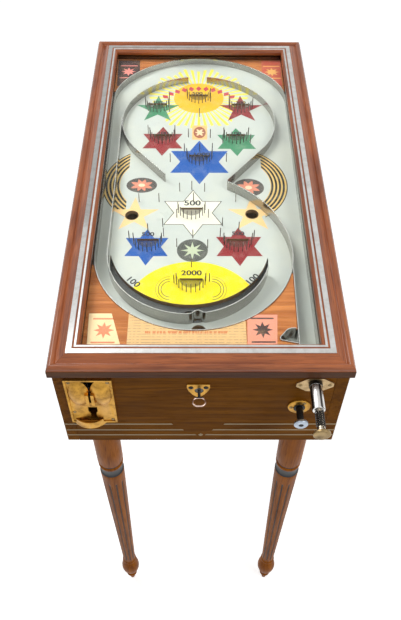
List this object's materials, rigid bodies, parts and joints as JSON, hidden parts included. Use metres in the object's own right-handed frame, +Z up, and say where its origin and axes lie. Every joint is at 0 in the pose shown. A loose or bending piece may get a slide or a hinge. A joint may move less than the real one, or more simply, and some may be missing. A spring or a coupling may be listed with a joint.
{
  "type": "bagatelle table",
  "caption": "Coin-operated bagatelle table: glazed hinged lid over a sloping nail board with metal rails, spring plunger, ball lift and coin entry, on turned legs",
  "frame": {"origin": "on the floor, at the middle of the table's overall width and depth", "axes": "+Z up, +X to the player's right, the player stands at -Y"},
  "size_m": [0.42, 0.917, 0.946],
  "materials": {
    "wood_box": "satin",
    "wood_inside": "matt",
    "wood_leg": "satin",
    "wood_lid": "gloss",
    "wood_plate": "satin",
    "field_green": "satin",
    "dark_metal": "satin",
    "pale_strip": "satin",
    "bright_rail": "polished",
    "steel": "satin",
    "ball_steel": "polished",
    "spring_steel": "satin",
    "black_steel": "satin",
    "aged_brass": "worn",
    "nickel": "polished",
    "inlay": "satin",
    "card": "matt",
    "pane": "clear"
  },
  "bodies": {
    "cabinet": {"front_panel": "wood_box", "back_panel": "wood_box", "side_left": "wood_box", "side_right": "wood_box", "bottom_board": "wood_inside", "leg_blocks": "wood_inside", "field_cleats": "wood_inside", "plate_blocks": "wood_inside", "return_tray": "wood_inside", "leg_front_left": "wood_leg", "leg_front_right": "wood_leg", "leg_rear_left": "wood_leg", "leg_rear_right": "wood_leg", "front_plate": "wood_plate", "rear_plates": "wood_plate", "playfield_board": "field_green", "gutter_tray": "dark_metal", "cash_box": "dark_metal", "coin_chute": "dark_metal", "lock_case": "dark_metal", "lever_bracket": "dark_metal", "outer_rail": "bright_rail", "right_rail": "bright_rail", "left_rail": "bright_rail", "inner_rail": "bright_rail", "lane_rail": "bright_rail", "lift_hoop": "bright_rail", "field_border": "bright_rail", "leg_bolts": "steel", "hinge_box_leaves": "steel", "nails": "steel", "steel_balls": "ball_steel", "plunger_barrel": "ball_steel", "main_spring": "spring_steel", "coin_plate": "aged_brass", "coin_boss": "aged_brass", "coin_cup": "aged_brass", "escutcheon": "aged_brass", "lift_flange": "aged_brass", "plunger_flange": "aged_brass", "brass_screws": "aged_brass", "front_inlays": "inlay", "paper_cards": "card"},
    "lid": {"lid_front": "wood_lid", "lid_rear": "wood_lid", "lid_left": "wood_lid", "lid_right": "wood_lid", "wide_strips": "pale_strip", "thin_strips": "pale_strip", "glazing_beads": "wood_lid", "glass_pane": "pane", "hinge_lid_leaves": "steel", "strike_plate": "steel"},
    "key": {"key": "black_steel"},
    "plunger": {"plunger_rod": "nickel", "plunger_knob": "aged_brass", "cushion_spring": "spring_steel"},
    "lift": {"lift_rod": "black_steel", "lift_knob": "steel"},
    "lift_lever": {"lift_lever": "steel"}
  },
  "joints": [
    {"name": "lid_hinge", "type": "hinge", "parent": "cabinet", "child": "lid", "pos_m": [0, 0.4553, 0.922], "axis": [-1, 0, 0], "range_deg": [0, 100]},
    {"name": "key_turn", "type": "hinge", "parent": "cabinet", "child": "key", "pos_m": [-0.0025, -0.3832, 0.886], "axis": [0, -1, 0], "range_deg": [0, 90]},
    {"name": "plunger_pull", "type": "slide", "parent": "cabinet", "child": "plunger", "axis": [0, -1, 0], "range_m": [0, 0.035], "stiffness_N_per_m": 120, "springref_m": -0.02, "deforming": ["main_spring"]},
    {"name": "ball_lift_push", "type": "slide", "parent": "cabinet", "child": "lift", "axis": [0, 1, 0], "range_m": [0, 0.022]},
    {"name": "lever_swing", "type": "hinge", "parent": "cabinet", "child": "lift_lever", "pos_m": [0.1335, -0.3492, 0.876], "axis": [1, 0, 0], "range_deg": [0, 46.7]}
  ],
  "couplings": [
    {"joint": "lever_swing", "follows": "ball_lift_push", "rad_per_m": 37}
  ]
}
